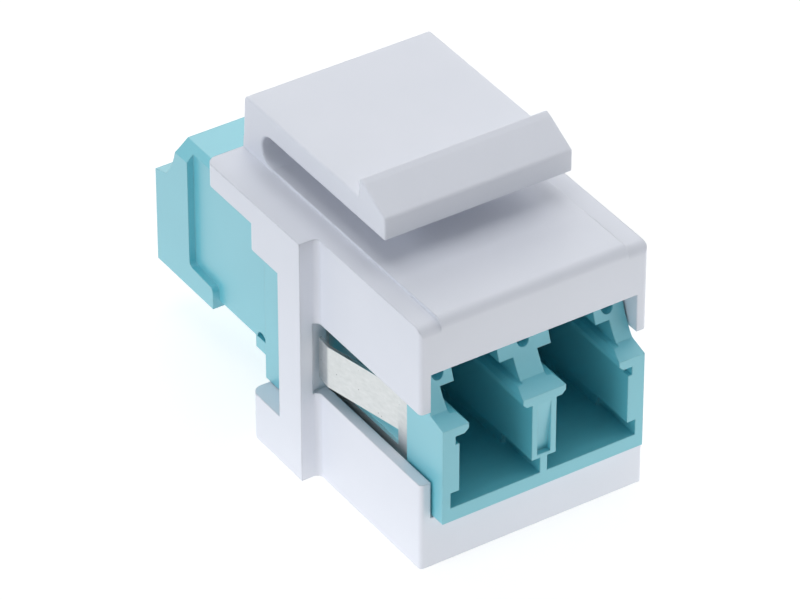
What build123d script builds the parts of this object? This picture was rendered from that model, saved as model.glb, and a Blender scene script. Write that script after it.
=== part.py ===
"""Keystone fibre coupler: a snap-in keystone housing that carries a duplex fibre adapter.

The part stands on the base of its housing, with X across, Y from front to rear and Z up.
Y is zero at the adapter's middle plane, where its two halves meet.
"""

from build123d import *
import os

os.makedirs("parts", exist_ok=True)

# Adapter, two mirrored halves
adapter_length = 29.5
adapter_width = 13.06
adapter_height = 9.37
nose = 1.0  # how far the adapter stands out of the housing's face
top_chamfer = 0.8  # along each side of the top
rim_length = 3.5  # full-width rim at each end
foot_length = 6.0  # low foot behind the rim
foot_height = 1.55
foot_fall = 0.15  # the foot's top slopes down to its tail
foot_r = 0.35
waist_inset = 0.43  # the waist between the rims is this much narrower on each side
waist_rise = 0.47
strap_seat = 0.25  # depth of the seat for the spring clip, across the front half's top
strap_seat_chamfer = 0.5

# Concave cut-back above the mouth of the ports
ledge_height = 6.55  # above the adapter's base
ledge_depth = 1.2
ledge_rise = 0.35
scoop_top_depth = 2.35
scoop_bulge = 0.72
scallop_r = 0.38  # hollow at the head of each pillar
scallop_drop = 1.0
scallop_behind = 0.35

# Ports
port_pitch = 6.25
port_floor = 0.9  # wall under the ports
port_width = 4.7
port_height = 4.72
groove_height = 1.02
groove_reach = 0.55  # grooves beside the port's floor, at the mouth
groove_reach_inside = 0.3
groove_mouth_depth = 3.3
rail_height = 0.85
rail_width = 0.6
rail_length = 5.0
rail_chamfer = 0.25
latch_bay_height = 1.2
keyway_width = 2.92
keyway_height = 0.9
pocket_width = 0.86
pocket_height = 3.4
pocket_depth = 0.35
pocket_base = 1.25
nick_width = 0.25  # slot under the outer ledges
nick_height = 0.55
nick_length = 0.5

# Alignment sleeves and the tubes that hold them
centre_wall = 1.2
holder_d = 3.0
holder_reach = 4.0
sleeve_d = 1.6
sleeve_bore = 1.25
sleeve_length = 6.8
sleeve_slit = 0.25
sleeve_gap = 0.075
sleeve_end_gap = 0.15
lip_gap = 0.075  # lip that keeps the sleeve in, around the ferrule
lead_in_angle = 25.0

# Flange around the middle of the adapter, moulded with its front half
flange_ahead = 1.35
flange_behind = 2.05
flange_side = 0.67
flange_over = 0.4
flange_under = 0.33
spigot_gap = 0.05

# Ledge under the rear half, against the flange
gusset_length = 2.75
gusset_hole_r = 0.45
gusset_hole_depth = 0.4
gusset_hole_rim = 0.15

# Keystone housing
side_gap = 0.12  # adapter to housing
under_gap = 0.13
over_gap = 0.06
side_wall = 0.65
tray_floor = 3.3
tray_side = 2.38  # tray's side walls above its floor
hood_thickness = 3.11
cheek_depth = 2.46
jamb_set_back = 0.2
front_corner_r = 0.25
front_top_r = 0.6
plateau_width = 12.0
plateau_height = 0.2

# Collar, the part of the housing that stops against the panel
collar_reach = 1.15
rib_thickness = 2.25
collar_fillet = 0.35
sill_height = 3.05
sill_length = 3.0
ear_length = 3.1
ear_height = 1.75
roof_thickness = 1.47
roof_length = 7.35
collar_corner_r = 0.65
collar_gap = 0.1

# Latch arm
arm_width = 12.0
arm_thickness = 1.4
arm_gap = 1.88
arm_edge_r = 0.3
wedge_edge_r = 0.15
post_thickness = 1.7
post_lean = 0.25
panel_gap = 2.15  # thickness of panel that the latch takes
wedge_height = 1.25
wedge_land = 0.55
wedge_land_drop = 0.2
wedge_length = 2.57
knuckle_r = 1.15
knuckle_rise = 1.13
knuckle_gap = 0.05

# Spring clip
sheet = 0.2
clip_front_gap = 0.1
clip_rear_gap = 0.25
clip_strip = 1.1
clip_rear_strip = 1.2
clip_rail_top = 5.78
clip_upper_rail = 10.46
clip_foot_gap = 0.05
leaf_bottom = 6.8
leaf_top = 9.5
leaf_reach = 1.15
leaf_tail = 1.0
leaf_tail_gap = 0.15  # leaf to the collar that it bears on
leaf_tail_return = 0.1
leaf_bend_r = 0.6

# Places worked out from the sizes above
half_length = adapter_length / 2
half_width = adapter_width / 2
base_z = tray_floor + under_gap
top_z = base_z + adapter_height
waist_x = half_width - waist_inset
waist_bottom = base_z + waist_rise
waist_chamfer = top_chamfer - waist_inset
strap_z = top_z - strap_seat
port_x = port_pitch / 2
floor_z = base_z + port_floor
ferrule_z = floor_z + port_height / 2
channel_x = half_width + side_gap
channel_top = top_z + over_gap
body_x = channel_x + side_wall
body_height = channel_top + hood_thickness
face_y = nose - half_length
rib_rear = -flange_ahead
collar_front = rib_rear - rib_thickness
roof_end = rib_rear + roof_length
roof_underside = body_height - roof_thickness
collar_x = body_x + collar_reach
flange_x = half_width + flange_side
plateau_z = body_height + plateau_height
arm_underside = plateau_z + arm_gap
arm_top = arm_underside + arm_thickness
slot_end = roof_end - post_lean - post_thickness
root_y = slot_end + post_thickness / 2
root_z = plateau_z + knuckle_rise
catch_y = collar_front - panel_gap
across = Plane.XZ  # looked at from the front, pushed rearwards by a negative amount
side = Plane.YZ


with BuildPart() as adapter_half:
    # Rim and foot at full width, then the narrower waist back to the middle plane
    with BuildSketch(side) as rim_side:
        with BuildLine():
            mouth = -half_length
            rim_y = mouth + rim_length
            foot_y = mouth + foot_length
            foot_z = base_z + foot_height
            Polyline(
                (mouth, base_z),
                (foot_y, base_z),
                (foot_y, foot_z - foot_fall),
                (rim_y, foot_z),
                (rim_y, top_z),
                (mouth, top_z),
                close=True,
            )
        make_face()
        fillet(rim_side.vertices().filter_by(lambda v: base_z < v.Y < top_z and v.X > mouth), foot_r)
    extrude(amount=half_width, both=True)
    chamfer(adapter_half.edges().filter_by(Axis.Y).group_by(Axis.Z)[-1], top_chamfer)
    with BuildSketch(across) as waist_section:
        with Locations((0, waist_bottom)):
            Rectangle(2 * waist_x, top_z - waist_bottom, align=(Align.CENTER, Align.MIN))
        chamfer(waist_section.vertices().group_by(Axis.Y)[-1], waist_chamfer)
    extrude(amount=half_length - rim_length / 2)
    # Concave scoop above the ports' mouths
    with BuildSketch(side) as scoop:
        with BuildLine():
            ledge = (mouth, base_z + ledge_height - ledge_rise)
            heel = (mouth + ledge_depth, base_z + ledge_height)
            brow = (mouth + scoop_top_depth, top_z)
            Line(ledge, heel)
            ThreePointArc(
                heel,
                (mouth + ledge_depth + (scoop_top_depth - ledge_depth) * scoop_bulge, (heel[1] + top_z) / 2),
                brow,
            )
            Polyline(brow, (mouth, top_z), ledge)
        make_face()
    extrude(amount=half_width, both=True, mode=Mode.SUBTRACT)
    # Small hollow at the head of each pillar
    pillar_x = port_x + port_width / 2
    with BuildSketch(across.offset(half_length)):
        with Locations(*[(x, top_z - scallop_drop) for x in (-pillar_x, 0, pillar_x)]):
            Circle(scallop_r)
    extrude(amount=-scoop_top_depth - scallop_behind, mode=Mode.SUBTRACT)
    # Ports, cut back to the centre wall
    port_depth = half_length - centre_wall / 2
    with BuildSketch(across.offset(half_length)) as port_section:
        with Locations((-port_x, floor_z), (port_x, floor_z)):
            Rectangle(port_width, port_height, align=(Align.CENTER, Align.MIN))
            Rectangle(
                port_width + 2 * groove_reach_inside, groove_height, align=(Align.CENTER, Align.MIN)
            )
        with Locations((-port_x, floor_z + port_height), (port_x, floor_z + port_height)):
            Rectangle(port_width - 2 * rail_width, rail_height, align=(Align.CENTER, Align.MIN))
        rail_top = floor_z + port_height + rail_height
        with Locations((-port_x, rail_top), (port_x, rail_top)):
            Rectangle(port_width, latch_bay_height, align=(Align.CENTER, Align.MIN))
            Rectangle(keyway_width, latch_bay_height + keyway_height, align=(Align.CENTER, Align.MIN))
        rail_edge = port_width / 2 - rail_width
        rail_corners = port_section.vertices().filter_by(
            lambda v: abs(abs(abs(v.X) - port_x) - rail_edge) < 0.01 and v.Y < rail_top + 0.01
        )
        chamfer(rail_corners, rail_chamfer)
    extrude(amount=-port_depth, mode=Mode.SUBTRACT)
    # The rails stop short, so that a plug's latch can rise behind them
    with BuildSketch(across.offset(half_length - rail_length)):
        with Locations((-port_x, floor_z), (port_x, floor_z)):
            Rectangle(
                port_width,
                port_height + rail_height + latch_bay_height,
                align=(Align.CENTER, Align.MIN),
            )
    extrude(amount=rail_length - port_depth, mode=Mode.SUBTRACT)
    # Wider floor grooves at the mouth
    with BuildSketch(across.offset(half_length)):
        with Locations((-port_x, floor_z), (port_x, floor_z)):
            Rectangle(port_width + 2 * groove_reach, groove_height, align=(Align.CENTER, Align.MIN))
    extrude(amount=-groove_mouth_depth, mode=Mode.SUBTRACT)
    # Short slot under the outer ledges
    with BuildSketch(across.offset(half_length)):
        with Locations((0, floor_z + port_height)):
            Rectangle(2 * (pillar_x + nick_width), nick_height, align=(Align.CENTER, Align.MAX))
            Rectangle(2 * port_x, nick_height, align=(Align.CENTER, Align.MAX), mode=Mode.SUBTRACT)
    extrude(amount=-nick_length, mode=Mode.SUBTRACT)
    # Shallow draft pocket in the web between the ports
    with BuildSketch(side):
        with BuildLine():
            pocket_z = floor_z + pocket_base
            Polyline(
                (-half_length, pocket_z),
                (-half_length + pocket_depth, pocket_z),
                (-half_length, pocket_z + pocket_height),
                close=True,
            )
        make_face()
    extrude(amount=pocket_width / 2, both=True, mode=Mode.SUBTRACT)
    # Tubes that hold the alignment sleeves
    with BuildSketch(across.offset(centre_wall / 2)):
        with Locations((-port_x, ferrule_z), (port_x, ferrule_z)):
            Circle(holder_d / 2)
    extrude(amount=holder_reach - centre_wall / 2)
    sleeve_seat = sleeve_length / 2 + sleeve_end_gap
    with BuildSketch(across):
        with Locations((-port_x, ferrule_z), (port_x, ferrule_z)):
            Circle(sleeve_d / 2 + sleeve_gap)
    extrude(amount=sleeve_seat, mode=Mode.SUBTRACT)
    with BuildSketch(across.offset(sleeve_seat)):
        with Locations((-port_x, ferrule_z), (port_x, ferrule_z)):
            Circle(sleeve_bore / 2 + lip_gap)
    extrude(amount=holder_reach - sleeve_seat, taper=-lead_in_angle, mode=Mode.SUBTRACT)

with BuildPart() as adapter_front_body:
    add(adapter_half.part)
    # Seat for the spring clip, between the rim and the flange
    with BuildSketch() as under_strap:
        with Locations((0, strap_z)):
            Rectangle(2 * waist_x, adapter_height, align=(Align.CENTER, Align.MAX))
        chamfer(under_strap.vertices().group_by(Axis.Y)[-1], strap_seat_chamfer)
    with BuildSketch(across.offset(half_length - rim_length)):
        with Locations((0, top_z)):
            Rectangle(adapter_width, 2 * (strap_seat + strap_seat_chamfer))
        add(under_strap.sketch, mode=Mode.SUBTRACT)
    extrude(amount=flange_ahead - half_length + rim_length, mode=Mode.SUBTRACT)
    # Flange, hollow behind the middle plane for the rear half's spigot
    with BuildSketch(across.offset(flange_ahead)):
        with Locations((0, base_z - flange_under)):
            Rectangle(
                2 * flange_x,
                flange_under + adapter_height + flange_over,
                align=(Align.CENTER, Align.MIN),
            )
        with Locations((0, waist_bottom)):
            Rectangle(
                2 * waist_x,
                strap_z - waist_bottom,
                align=(Align.CENTER, Align.MIN),
                mode=Mode.SUBTRACT,
            )
    extrude(amount=-flange_ahead)
    with BuildSketch(across):
        with Locations((0, base_z - flange_under)):
            Rectangle(
                2 * flange_x,
                flange_under + adapter_height + flange_over,
                align=(Align.CENTER, Align.MIN),
            )
        with Locations((0, waist_bottom - spigot_gap)):
            Rectangle(
                2 * (waist_x + spigot_gap),
                top_z - waist_bottom + 2 * spigot_gap,
                align=(Align.CENTER, Align.MIN),
                mode=Mode.SUBTRACT,
            )
    extrude(amount=-flange_behind)
adapter_front_body.part.label = "adapter_front_body"

with BuildPart() as adapter_rear_body:
    add(adapter_half.part)
    mirror(about=across, mode=Mode.REPLACE)
    # Ledge that stands under the waist behind the flange, with a round hollow over it on each side
    gusset_front = flange_behind + spigot_gap
    with BuildSketch(Plane.XY.offset(base_z - flange_under)):
        with Locations((0, gusset_front)):
            Rectangle(2 * waist_x, gusset_length, align=(Align.CENTER, Align.MIN))
    extrude(amount=flange_under + waist_rise)
    gusset_hole_y = gusset_front + gusset_length - gusset_hole_rim - gusset_hole_r
    for wall in (side.offset(waist_x), side.offset(-waist_x)):
        with BuildSketch(wall):
            with Locations((gusset_hole_y, waist_bottom)):
                Circle(gusset_hole_r)
                Rectangle(
                    2 * gusset_hole_r, gusset_hole_r, align=(Align.CENTER, Align.MAX), mode=Mode.SUBTRACT
                )
        extrude(amount=gusset_hole_depth, both=True, mode=Mode.SUBTRACT)
adapter_rear_body.part.label = "adapter_rear_body"

with BuildPart() as sleeve_right:
    with BuildSketch(across.offset(-sleeve_length / 2)):
        with Locations((port_x, ferrule_z)):
            Circle(sleeve_d / 2)
            Circle(sleeve_bore / 2, mode=Mode.SUBTRACT)
            Rectangle(
                sleeve_slit, sleeve_d, align=(Align.CENTER, Align.MIN), mode=Mode.SUBTRACT
            )
    extrude(amount=sleeve_length)
sleeve_right.part.label = "sleeve_right"

with BuildPart() as sleeve_left:
    add(sleeve_right.part)
    mirror(about=side, mode=Mode.REPLACE)
sleeve_left.part.label = "sleeve_left"

# Side view of the latch: post, arm and wedge as they are moulded
with BuildSketch(side) as latch_side:
    with BuildLine():
        slot_r = arm_gap / 2
        slot_centre = slot_end - slot_r
        tip_y = catch_y - wedge_length
        post_rear = roof_end - post_lean
        Polyline(
            (slot_centre, plateau_z),
            (slot_centre, body_height - plateau_height),
            (roof_end, body_height - plateau_height),
            (post_rear, arm_top),
            (catch_y, arm_top),
            (catch_y, arm_top + wedge_height),
            (catch_y - wedge_land, arm_top + wedge_height - wedge_land_drop),
            (tip_y, arm_top),
            (tip_y, arm_underside),
            (slot_centre, arm_underside),
        )
        ThreePointArc(
            (slot_centre, arm_underside),
            (slot_end, plateau_z + slot_r),
            (slot_centre, plateau_z),
        )
    make_face()

with BuildPart() as keystone_housing:
    # Body: a square sleeve, open at the front
    with BuildSketch(Plane.XY) as body_plan:
        with Locations((0, face_y)):
            Rectangle(2 * body_x, rib_rear - face_y, align=(Align.CENTER, Align.MIN))
        fillet(body_plan.vertices().group_by(Axis.Y)[0], front_corner_r)
    extrude(amount=body_height)
    with BuildSketch(side) as body_side:
        with Locations((face_y, 0)):
            Rectangle(rib_rear - face_y, body_height, align=(Align.MIN, Align.MIN))
        fillet(body_side.vertices().group_by(Axis.Y)[-1].sort_by(Axis.X)[0], front_top_r)
    extrude(amount=body_x, both=True, mode=Mode.INTERSECT)
    # Collar: rib, sill, ears and roof in one side view
    with BuildSketch(side):
        with BuildLine():
            Polyline(
                (collar_front, 0),
                (rib_rear + sill_length, 0),
                (rib_rear + sill_length, sill_height),
                (rib_rear, sill_height),
                (rib_rear, roof_underside - ear_height),
                (rib_rear + ear_length, roof_underside - ear_height),
                (rib_rear + ear_length, roof_underside),
                (roof_end, roof_underside),
                (roof_end, body_height),
                (collar_front, body_height),
                close=True,
            )
        make_face()
    extrude(amount=collar_x, both=True)
    inner_corners = keystone_housing.edges().filter_by(Axis.Z).filter_by(
        lambda e: abs(abs(e.center().X) - body_x) < 0.01 and abs(e.center().Y - collar_front) < 0.01
    )
    fillet(inner_corners, collar_fillet)
    rear_corners = keystone_housing.edges().filter_by(Axis.Z).filter_by(
        lambda e: abs(abs(e.center().X) - collar_x) < 0.01 and e.center().Y > rib_rear + 0.5
    )
    fillet(rear_corners, collar_corner_r)
    # Channel for the adapter
    with BuildSketch(across.offset(-face_y)):
        with Locations((0, tray_floor)):
            Rectangle(2 * channel_x, channel_top - tray_floor, align=(Align.CENTER, Align.MIN))
    extrude(amount=face_y - rib_rear, mode=Mode.SUBTRACT)
    # Room behind the rib for the flange
    with BuildSketch(across.offset(-rib_rear)):
        with Locations((0, sill_height)):
            Rectangle(
                2 * (flange_x + collar_gap), roof_underside - sill_height, align=(Align.CENTER, Align.MIN)
            )
    extrude(amount=-roof_length, mode=Mode.SUBTRACT)
    # Side windows, open to the front
    window_bottom = tray_floor + tray_side
    window_top = channel_top - cheek_depth
    with BuildSketch(Plane.XY.offset(window_bottom)):
        with Locations((0, face_y)):
            Rectangle(
                2 * (body_x + collar_fillet),
                collar_front + jamb_set_back - face_y,
                align=(Align.CENTER, Align.MIN),
            )
    extrude(amount=window_top - window_bottom, mode=Mode.SUBTRACT)
    # Plateau under the arm, rounded at the front, and the foot of the post
    with BuildSketch(side) as plateau_side:
        with Locations((face_y, plateau_z - 2 * front_top_r)):
            Rectangle(slot_end - face_y, 2 * front_top_r, align=(Align.MIN, Align.MIN))
        fillet(plateau_side.vertices().group_by(Axis.Y)[-1].sort_by(Axis.X)[0], front_top_r)
    extrude(amount=plateau_width / 2, both=True)
    with BuildSketch(side) as post_side:
        add(latch_side.sketch_local)
        with Locations((root_y, root_z)):
            Rectangle(
                adapter_length, body_height, align=(Align.CENTER, Align.MIN), mode=Mode.SUBTRACT
            )
            Circle(knuckle_r + knuckle_gap, mode=Mode.SUBTRACT)
    extrude(amount=arm_width / 2, both=True)
keystone_housing.part.label = "keystone_housing"

# What the arm leaves to the housing: all of the post outside the knuckle, below its axis
with BuildSketch(side) as below_knuckle:
    with Locations((root_y, root_z)):
        Rectangle(adapter_length, body_height, align=(Align.CENTER, Align.MAX))
        Circle(knuckle_r, mode=Mode.SUBTRACT)

with BuildPart() as latch_arm:
    with BuildSketch(side):
        add(latch_side.sketch_local)
        add(below_knuckle.sketch_local, mode=Mode.SUBTRACT)
    extrude(amount=arm_width / 2, both=True)
    top_cross_edges = latch_arm.edges().filter_by(Axis.X).filter_by_position(
        Axis.Z, arm_top - 0.01, arm_top + 0.01
    )
    fillet(top_cross_edges.sort_by(Axis.Y)[-1], arm_edge_r)
    fillet(latch_arm.edges().filter_by(Axis.X).group_by(Axis.Z)[-1], wedge_edge_r)
    fillet(latch_arm.edges().filter_by(Axis.X).group_by(Axis.Y)[0], wedge_edge_r)
    top_edges = latch_arm.edges().filter_by(
        lambda e: abs(e.center().X) > arm_width / 2 - 0.01
        and e.center().Z > arm_top - arm_edge_r
        and e.center().Y > catch_y + 0.01
    )
    fillet(top_edges, wedge_edge_r)
latch_arm.part.label = "latch_arm"

with BuildPart() as spring_clip:
    # Strip folded over the waist of the adapter's front half
    clip_front = -half_length + rim_length + clip_front_gap
    clip_rear = -flange_ahead - clip_rear_gap
    clip_foot = base_z + foot_height + clip_foot_gap
    with BuildSketch(across.offset(-clip_front)):
        with BuildLine():
            FilletPolyline(
                (-waist_x - sheet / 2, clip_foot),
                (-waist_x - sheet / 2, strap_z + sheet / 2),
                (waist_x + sheet / 2, strap_z + sheet / 2),
                (waist_x + sheet / 2, clip_foot),
                radius=strap_seat_chamfer + sheet / 2,
            )
        trace(line_width=sheet)
    extrude(amount=clip_front - clip_rear)
    # Windows that the leaves are lanced from
    with BuildSketch(side):
        with Locations((clip_front + clip_strip, clip_rail_top)):
            Rectangle(
                clip_rear - clip_rear_strip - clip_front - clip_strip,
                clip_upper_rail - clip_rail_top,
                align=(Align.MIN, Align.MIN),
            )
    extrude(amount=collar_x, both=True, mode=Mode.SUBTRACT)
    # Leaves, flared out to the housing's window jambs
    leaf_root = clip_front + clip_strip
    leaf_end = collar_front - leaf_tail_gap
    with BuildSketch(Plane.XY.offset(leaf_bottom)):
        with BuildLine():
            FilletPolyline(
                (waist_x + sheet / 2, leaf_root - clip_strip / 2),
                (waist_x + sheet / 2, leaf_root),
                (waist_x + sheet / 2 + leaf_reach, leaf_end - leaf_tail),
                (waist_x + sheet / 2 + leaf_reach - leaf_tail_return, leaf_end),
                radius=leaf_bend_r,
            )
        trace(line_width=sheet)
        mirror(about=side)
    extrude(amount=leaf_top - leaf_bottom)
spring_clip.part.label = "spring_clip"

export_step(keystone_housing.part, "parts/keystone_housing.step")
export_step(latch_arm.part, "parts/latch_arm.step")
export_step(adapter_front_body.part, "parts/adapter_front_body.step")
export_step(adapter_rear_body.part, "parts/adapter_rear_body.step")
export_step(sleeve_left.part, "parts/sleeve_left.step")
export_step(sleeve_right.part, "parts/sleeve_right.step")
export_step(spring_clip.part, "parts/spring_clip.step")
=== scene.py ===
"""Keystone fibre coupler: its finishes, its one-piece latch arm and a plain studio around it."""

import math

import bpy
import numpy as np
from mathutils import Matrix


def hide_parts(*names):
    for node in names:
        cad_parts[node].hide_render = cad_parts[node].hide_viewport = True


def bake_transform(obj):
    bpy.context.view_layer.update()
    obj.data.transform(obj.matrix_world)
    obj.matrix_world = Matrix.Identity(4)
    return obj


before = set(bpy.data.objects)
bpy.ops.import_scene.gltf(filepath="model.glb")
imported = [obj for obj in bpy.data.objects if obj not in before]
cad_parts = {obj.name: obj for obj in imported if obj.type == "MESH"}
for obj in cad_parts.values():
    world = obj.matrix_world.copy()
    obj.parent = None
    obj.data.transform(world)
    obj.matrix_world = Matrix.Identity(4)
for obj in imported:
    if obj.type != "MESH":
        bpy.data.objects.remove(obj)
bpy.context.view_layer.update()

# White housing. One moulding of cool white ABS with the tray, the hood, the collar and the roof plate. The
# steel of its tool was finely spark-eroded, so it is satin, with a faint grain that only softens the
# highlights. The real grain is about 0.05 mm across, and is drawn four times as coarse so that it shows.
MM = 0.001


def linear(code):
    """An sRGB hex colour as linear red, green, blue and alpha, by the standard's own curve."""
    parts = [int(code[i : i + 2], 16) / 255 for i in (1, 3, 5)]
    return [c / 12.92 if c <= 0.04045 else ((c + 0.055) / 1.055) ** 2.4 for c in parts] + [1.0]


def add_node(tree, kind, settings=(), links=()):
    """Adds a node to a tree, sets its properties or input sockets by name, and links its inputs."""
    node = tree.nodes.new(kind)
    for name, value in dict(settings).items():
        if name in node.inputs and not hasattr(type(node), name):
            node.inputs[name].default_value = value
        else:
            setattr(node, name, value)
    for name, source in dict(links).items():
        tree.links.new(source, node.inputs[name])
    return node


def moulded_plastic(name, *, colour, shade, roughness, sheen, skin, grain_mm, relief_mm, edge_mm):
    """Injection-moulded plastic. Its colour drifts between two close tints with the flow of the melt, a clear
    skin as rough as the body lies over it, and its bump is the tool's grain on edges that the tool rounds."""
    plastic_ior = 1.53
    flow_mm = 4.0
    material = bpy.data.materials.new(name)
    material.use_nodes = True
    tree = material.node_tree
    shader = tree.nodes["Principled BSDF"]
    shader.inputs["Roughness"].default_value = roughness
    shader.inputs["IOR"].default_value = plastic_ior
    shader.inputs["Specular IOR Level"].default_value = sheen
    shader.inputs["Coat Weight"].default_value = skin
    shader.inputs["Coat Roughness"].default_value = roughness
    place = add_node(tree, "ShaderNodeTexCoord")
    flow = add_node(
        tree,
        "ShaderNodeTexNoise",
        {"Scale": 1 / (flow_mm * MM), "Detail": 2.0},
        {"Vector": place.outputs["Object"]},
    )
    tint = add_node(tree, "ShaderNodeMix", {"data_type": "RGBA"}, {"Factor": flow.outputs["Fac"]})
    tint.inputs["A"].default_value = linear(shade)
    tint.inputs["B"].default_value = linear(colour)
    tree.links.new(tint.outputs["Result"], shader.inputs["Base Color"])
    grain = add_node(
        tree,
        "ShaderNodeTexNoise",
        {"Scale": 1 / (grain_mm * MM), "Detail": 3.0},
        {"Vector": place.outputs["Object"]},
    )
    edge = add_node(tree, "ShaderNodeBevel", {"samples": 4, "Radius": edge_mm * MM})
    bump = add_node(
        tree,
        "ShaderNodeBump",
        {"Strength": 1.0, "Distance": relief_mm * MM},
        {"Height": grain.outputs["Fac"], "Normal": edge.outputs["Normal"]},
    )
    tree.links.new(bump.outputs["Normal"], shader.inputs["Normal"])
    return material


def dress(node, material):
    """Gives a carried-over piece one material in every slot."""
    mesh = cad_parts[node].data
    if not mesh.materials:
        mesh.materials.append(material)
    for slot in range(len(mesh.materials)):
        mesh.materials[slot] = material


white_abs = moulded_plastic(
    "cool_white_abs_spark_eroded",
    colour="#E6E8EF",
    shade="#E1E4EB",
    roughness=0.42,
    sheen=0.5,
    skin=0.0,
    grain_mm=0.22,
    relief_mm=0.0025,
    edge_mm=0.13,
)
dress("keystone_housing", white_abs)

# Latch arm. Post, arm and wedge are moulded in one with the housing, of the same ABS: a tongue doubled back
# over the hood, its edges rounded by the tool. On the real piece it bends at the post. Here it is one fixed
# mesh in place of the carried-over arm, and at the post's foot it stands two hundredths of a millimetre
# proud.
arm_half_width = 6.02
arm_end_radius = 0.13
arm_corners = np.array(
    [
        # y, z, radius
        (2.80, 15.80, 0.13),  # foot, in front
        (6.02, 15.80, 0.13),  # foot, behind
        (5.77, 19.45, 0.30),  # head of the leaning rear
        (-5.75, 19.45, 0.12),  # foot of the catch
        (-5.75, 20.70, 0.15),  # tip of the catch
        (-6.30, 20.50, 0.15),  # front of the catch's land
        (-8.32, 19.45, 0.20),  # end of the wedge's slope
        (-8.32, 18.03, 0.15),  # underside of the nose
        (4.03, 18.03, 0.9199),  # round end of the slot, above
        (4.03, 16.19, 0.9199),  # round end of the slot, below
        (2.80, 16.19, 0.13),  # front of the slot's floor
    ]
)


def rounded_outline(corners, arc_steps, run_steps):
    """A closed outline with round corners, as points and outward normals. Each arc leaves a side at the
    radius times the tangent of half the turn from the corner, and its points are the circle's centre plus
    the radius times a unit vector that turns evenly from one side's normal to the next side's. The points
    of a straight run are its start plus rising parts of the way to its end."""
    at, radius = corners[:, :2], corners[:, 2]
    out = np.roll(at, -1, axis=0) - at
    heading = np.arctan2(out[:, 1], out[:, 0])
    before = np.roll(heading, 1)
    turn = (heading - before + np.pi) % (2 * np.pi) - np.pi
    reach = radius * np.tan(np.abs(turn) / 2)
    start = at - reach[:, None] * np.stack([np.cos(before), np.sin(before)], axis=1)
    side = np.sign(turn)
    centre = start + (side * radius)[:, None] * np.stack([-np.sin(before), np.cos(before)], axis=1)
    angles = before[:, None] + turn[:, None] * np.linspace(0, 1, arc_steps)
    normals = np.stack([np.sin(angles), -np.cos(angles)], axis=2)
    arcs = centre[:, None] + (side * radius)[:, None, None] * normals
    # A row close to each arc keeps the arc's shading off the flat run.
    guard, inner = 0.02, 0.08
    between = np.linspace(inner, 1 - inner, run_steps)
    along = np.concatenate([[guard], between, [1 - guard]])[None, :, None]
    first, last = arcs[:, -1][:, None], np.roll(arcs, -1, axis=0)[:, 0][:, None]
    runs = first + (last - first) * along
    run_normals = np.repeat(normals[:, -1:], along.shape[1], axis=1)
    points = np.concatenate([arcs, runs], axis=1).reshape(-1, 2)
    return points, np.concatenate([normals, run_normals], axis=1).reshape(-1, 2)


def bar_across(name, outline, normals, half_width, end_radius, end_steps, middle_steps):
    """An outline carried across the object along X. Near each end the outline draws in along its normals by
    the end radius times one less the cosine of an angle, while X grows by the radius times its sine."""
    quarter = np.linspace(0, np.pi / 2, end_steps)
    x_end = half_width - end_radius + end_radius * np.sin(quarter)
    in_end = end_radius * (1 - np.cos(quarter))
    middle = np.linspace(-(half_width - end_radius), half_width - end_radius, middle_steps)[1:-1]
    x = np.concatenate([-x_end[::-1], middle, x_end])
    inset = np.concatenate([in_end[::-1], np.zeros(len(middle)), in_end])
    yz = outline[None] - normals[None] * inset[:, None, None]
    rings = np.concatenate([np.broadcast_to(x[:, None, None], (*yz.shape[:2], 1)), yz], axis=2)
    count, size = rings.shape[:2]
    i, j = np.meshgrid(np.arange(count - 1), np.arange(size), indexing="ij")
    k = (j + 1) % size
    quads = np.stack([i * size + j, i * size + k, (i + 1) * size + k, (i + 1) * size + j], axis=-1)
    caps = [list(range(size))[::-1], list(range((count - 1) * size, count * size))]
    mesh = bpy.data.meshes.new(name)
    mesh.from_pydata((rings.reshape(-1, 3) * MM).tolist(), [], quads.reshape(-1, 4).tolist() + caps)
    flat = np.arange(len(mesh.polygons)) >= len(mesh.polygons) - len(caps)
    mesh.polygons.foreach_set("use_smooth", ~flat)
    piece = bpy.data.objects.new(name, mesh)
    bpy.context.scene.collection.objects.link(piece)
    return piece


arm_outline, arm_normals = rounded_outline(arm_corners, arc_steps=9, run_steps=14)
latch_tongue = bar_across(
    "latch_tongue", arm_outline, arm_normals, arm_half_width, arm_end_radius, end_steps=6, middle_steps=14
)
latch_tongue.data.materials.append(white_abs)
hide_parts("latch_arm")
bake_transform(latch_tongue)

# Adapter. Two aqua PBT mouldings welded at the flange, from a smoother tool than the housing's. A glossy skin
# rich in resin lies on them, so their faces pick up the light of the room, and their deep ports go dark and
# more saturated inside.
aqua_pbt = moulded_plastic(
    "aqua_pbt_moulded",
    colour="#67C1CE",
    shade="#60BBC9",
    roughness=0.38,
    sheen=1.0,
    skin=0.85,
    grain_mm=0.3,
    relief_mm=0.0015,
    edge_mm=0.1,
)
dress("adapter_front_body", aqua_pbt)
dress("adapter_rear_body", aqua_pbt)

# Alignment sleeves. Slit tubes of sintered zirconia, ground and lapped: ivory white and glossy, with faint
# clouding in the body and fine lapping lines around the tube that soften the shine along its length.
zirconia_ior = 2.1
cloud_mm = 0.8
lapping_mm = 0.25  # a line every 0.08 mm, because the wave repeats after about a third of this length
zirconia = bpy.data.materials.new("lapped_zirconia")
zirconia.use_nodes = True
zirconia_tree = zirconia.node_tree
zirconia_shader = zirconia_tree.nodes["Principled BSDF"]
zirconia_shader.inputs["IOR"].default_value = zirconia_ior
zirconia_place = add_node(zirconia_tree, "ShaderNodeTexCoord")
cloud = add_node(
    zirconia_tree,
    "ShaderNodeTexNoise",
    {"Scale": 1 / (cloud_mm * MM), "Detail": 2.0},
    {"Vector": zirconia_place.outputs["Object"]},
)
zirconia_tint = add_node(
    zirconia_tree, "ShaderNodeMix", {"data_type": "RGBA"}, {"Factor": cloud.outputs["Fac"]}
)
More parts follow.
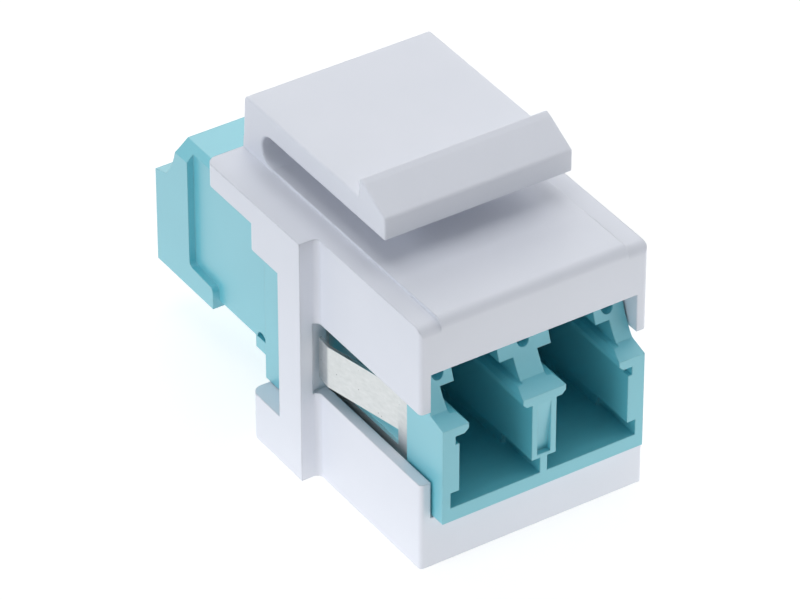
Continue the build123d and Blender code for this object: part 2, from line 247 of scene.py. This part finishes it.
zirconia_tint.inputs["A"].default_value = linear("#E9E4D6")
zirconia_tint.inputs["B"].default_value = linear("#F2EFE6")
zirconia_tree.links.new(zirconia_tint.outputs["Result"], zirconia_shader.inputs["Base Color"])
lapping = add_node(
    zirconia_tree,
    "ShaderNodeTexWave",
    {"wave_type": "BANDS", "bands_direction": "Y", "Scale": 1 / (lapping_mm * MM), "Distortion": 1.5},
    {"Vector": zirconia_place.outputs["Object"]},
)
lapped = add_node(
    zirconia_tree,
    "ShaderNodeMapRange",
    {"To Min": 0.08, "To Max": 0.2},
    {"Value": lapping.outputs["Fac"]},
)
zirconia_tree.links.new(lapped.outputs["Result"], zirconia_shader.inputs["Roughness"])
dress("sleeve_left", zirconia)
dress("sleeve_right", zirconia)

# Spring clip. Nickel-silver strip, rolled, blanked and folded: a neutral pale sheet with a dull rolled skin.
# It has a faint mottle, a little drawn out along the rolling direction, and sparse dark pits up to a tenth of
# a millimetre across.
mottle_mm = 0.45
rolled_out = 1.8  # how much finer the mottle is up the strip's sides than along them
pit_spacing_mm = 0.5
pit_floor, pit_rim = 0.03, 0.11  # radii, as parts of the pits' spacing
sheet_metal = bpy.data.materials.new("rolled_nickel_silver")
sheet_metal.use_nodes = True
sheet_tree = sheet_metal.node_tree
sheet_shader = sheet_tree.nodes["Principled BSDF"]
sheet_shader.inputs["Metallic"].default_value = 1.0
sheet_place = add_node(sheet_tree, "ShaderNodeTexCoord")
rolling = add_node(
    sheet_tree,
    "ShaderNodeMapping",
    {"Scale": (1.0, 1.0, rolled_out)},
    {"Vector": sheet_place.outputs["Object"]},
)
mottle = add_node(
    sheet_tree,
    "ShaderNodeTexNoise",
    {"Scale": 1 / (mottle_mm * MM), "Detail": 5.0},
    {"Vector": rolling.outputs["Vector"]},
)
sheet_tint = add_node(sheet_tree, "ShaderNodeMix", {"data_type": "RGBA"}, {"Factor": mottle.outputs["Fac"]})
sheet_tint.inputs["A"].default_value = linear("#C7CBCA")
sheet_tint.inputs["B"].default_value = linear("#E2E4E4")
pits = add_node(
    sheet_tree,
    "ShaderNodeTexVoronoi",
    {"Scale": 1 / (pit_spacing_mm * MM), "Randomness": 1.0},
    {"Vector": sheet_place.outputs["Object"]},
)
pit_mask = add_node(
    sheet_tree,
    "ShaderNodeMapRange",
    {"From Min": pit_floor, "From Max": pit_rim, "To Min": 1.0, "To Max": 0.0},
    {"Value": pits.outputs["Distance"]},
)
pitted = add_node(
    sheet_tree,
    "ShaderNodeMix",
    {"data_type": "RGBA"},
    {"Factor": pit_mask.outputs["Result"], "A": sheet_tint.outputs["Result"]},
)
pitted.inputs["B"].default_value = linear("#8F9595")
sheet_tree.links.new(pitted.outputs["Result"], sheet_shader.inputs["Base Color"])
sheet_rough = add_node(
    sheet_tree,
    "ShaderNodeMapRange",
    {"To Min": 0.36, "To Max": 0.26},
    {"Value": mottle.outputs["Fac"]},
)
sheet_tree.links.new(sheet_rough.outputs["Result"], sheet_shader.inputs["Roughness"])
dress("spring_clip", sheet_metal)

# Studio. A white table with a round light pad under its paper, brightest at the coupler's front right. The
# faces towards the camera get most of their light from the pad. Where the camera, a mirror or glass sees the
# paper, it is lifted to white with the shadow kept, and the room around is white.
floor_side = 1.2
pad_right = 25 * MM
pad_ahead = 30 * MM
pad_middle = 20 * MM  # even as far as this from its brightest place
pad_radius = 110 * MM  # and dark from here on
pad_bright = 1.24
lift_start = 60 * MM
lift_end = 220 * MM
near_lift = 0.72
far_lift = 1.0


def seen_or_mirrored(tree):
    """One for a ray from the camera, and for one that a glossy or clear surface sends on, nought for light
    that falls on the object: the largest of the Light Path node's three answers."""
    rays = add_node(tree, "ShaderNodeLightPath")
    mirrored = add_node(
        tree,
        "ShaderNodeMath",
        {"operation": "MAXIMUM"},
        {0: rays.outputs["Is Glossy Ray"], 1: rays.outputs["Is Transmission Ray"]},
    )
    either = add_node(
        tree,
        "ShaderNodeMath",
        {"operation": "MAXIMUM"},
        {0: rays.outputs["Is Camera Ray"], 1: mirrored.outputs["Value"]},
    )
    return either.outputs["Value"]


paper = bpy.data.materials.new("white_paper_on_light_pad")
paper.use_nodes = True
paper_tree = paper.node_tree
paper_shader = paper_tree.nodes["Principled BSDF"]
paper_shader.inputs["Base Color"].default_value = linear("#B0B0B0")
paper_shader.inputs["Roughness"].default_value = 0.9
paper_shader.inputs["Specular IOR Level"].default_value = 0.0
paper_place = add_node(paper_tree, "ShaderNodeTexCoord")
pad_place = add_node(
    paper_tree,
    "ShaderNodeMapping",
    {"Location": (-pad_right, pad_ahead, 0)},
    {"Vector": paper_place.outputs["Object"]},
)
from_brightest = add_node(
    paper_tree, "ShaderNodeVectorMath", {"operation": "LENGTH"}, {0: pad_place.outputs["Vector"]}
)
pad = add_node(
    paper_tree,
    "ShaderNodeMapRange",
    {"From Min": pad_middle, "From Max": pad_radius, "To Min": pad_bright, "To Max": 0.0},
    {"Value": from_brightest.outputs["Value"]},
)
lift = add_node(
    paper_tree,
    "ShaderNodeMapRange",
    {"From Min": lift_start, "From Max": lift_end, "To Min": near_lift, "To Max": far_lift},
    {"Value": from_brightest.outputs["Value"]},
)
glow = add_node(
    paper_tree,
    "ShaderNodeMapRange",
    {},
    {
        "Value": seen_or_mirrored(paper_tree),
        "To Min": pad.outputs["Result"],
        "To Max": lift.outputs["Result"],
    },
)
pad_light = add_node(paper_tree, "ShaderNodeEmission", {}, {"Strength": glow.outputs["Result"]})
lit_paper = add_node(
    paper_tree, "ShaderNodeAddShader", {}, {0: paper_shader.outputs["BSDF"], 1: pad_light.outputs["Emission"]}
)
paper_tree.links.new(lit_paper.outputs["Shader"], paper_tree.nodes["Material Output"].inputs["Surface"])

table_corners = np.array([(-1, -1, 0), (1, -1, 0), (1, 1, 0), (-1, 1, 0)]) * floor_side / 2
floor_mesh = bpy.data.meshes.new("floor")
floor_mesh.from_pydata(table_corners.tolist(), [], [(0, 1, 2, 3)])
floor_mesh.materials.append(paper)
floor = bpy.data.objects.new("floor", floor_mesh)
bpy.context.scene.collection.objects.link(floor)

world = bpy.data.worlds.new("studio")
world.use_nodes = True
backdrop = world.node_tree.nodes["Background"]
backdrop.inputs["Color"].default_value = linear("#FFFFFF")
world.node_tree.links.new(seen_or_mirrored(world.node_tree), backdrop.inputs["Strength"])
bpy.context.scene.world = world

# Lamps. Large soft boxes half a metre away on the left, the right, behind and above, and two smaller ones on
# the right: one behind, and a low one in front that looks under the hood. Angles are in degrees, from the
# front towards the left, and power is in watts.
lamp_distance = 0.5
coupler_middle = 10 * MM


def soft_light(name, *, azimuth, elevation, width, power, colour):
    """A square area light that looks at the coupler's middle from a compass angle and a height. Its place is
    the distance times the sines and cosines of the two angles, measured from that middle."""
    lamp = bpy.data.lights.new(name, "AREA")
    lamp.size = width
    lamp.energy = power
    lamp.color = linear(colour)[:3]
    light = bpy.data.objects.new(name, lamp)
    a, e = math.radians(azimuth), math.radians(elevation)
    light.location = (
        -lamp_distance * math.sin(a) * math.cos(e),
        -lamp_distance * math.cos(a) * math.cos(e),
        lamp_distance * math.sin(e) + coupler_middle,
    )
    light.rotation_euler = (math.pi / 2 - e, 0, -a)
    bpy.context.scene.collection.objects.link(light)


soft_light("left", azimuth=90, elevation=18, width=0.4, power=1.42, colour="#F2F7FF")
soft_light("right", azimuth=-80, elevation=25, width=0.4, power=0.9, colour="#FAFCFF")
soft_light("behind", azimuth=180, elevation=40, width=0.4, power=0.6, colour="#FAFCFF")
soft_light("above", azimuth=0, elevation=89, width=0.4, power=1.06, colour="#FCFDFF")
soft_light("right_behind", azimuth=-130, elevation=25, width=0.3, power=0.35, colour="#FFFFFF")
soft_light("right_front", azimuth=-50, elevation=4, width=0.2, power=0.34, colour="#E8F1FF")

# Camera, fitted to the photograph: a long lens that looks down on the coupler from its front left. Its place
# is in metres and its angles in degrees.
look_down, roll, heading = 35.89, 0.02, -33.06
camera_data = bpy.data.cameras.new("camera")
camera_data.sensor_width = 36
camera_data.lens = 260.0
camera_data.clip_start = 0.01
camera = bpy.data.objects.new("camera", camera_data)
camera.location = (-0.1415, -0.21805, 0.1949)
camera.rotation_euler = (math.radians(90 - look_down), math.radians(roll), math.radians(heading))
bpy.context.scene.collection.objects.link(camera)
bpy.context.scene.camera = camera
bpy.context.scene.view_settings.view_transform = "Standard"
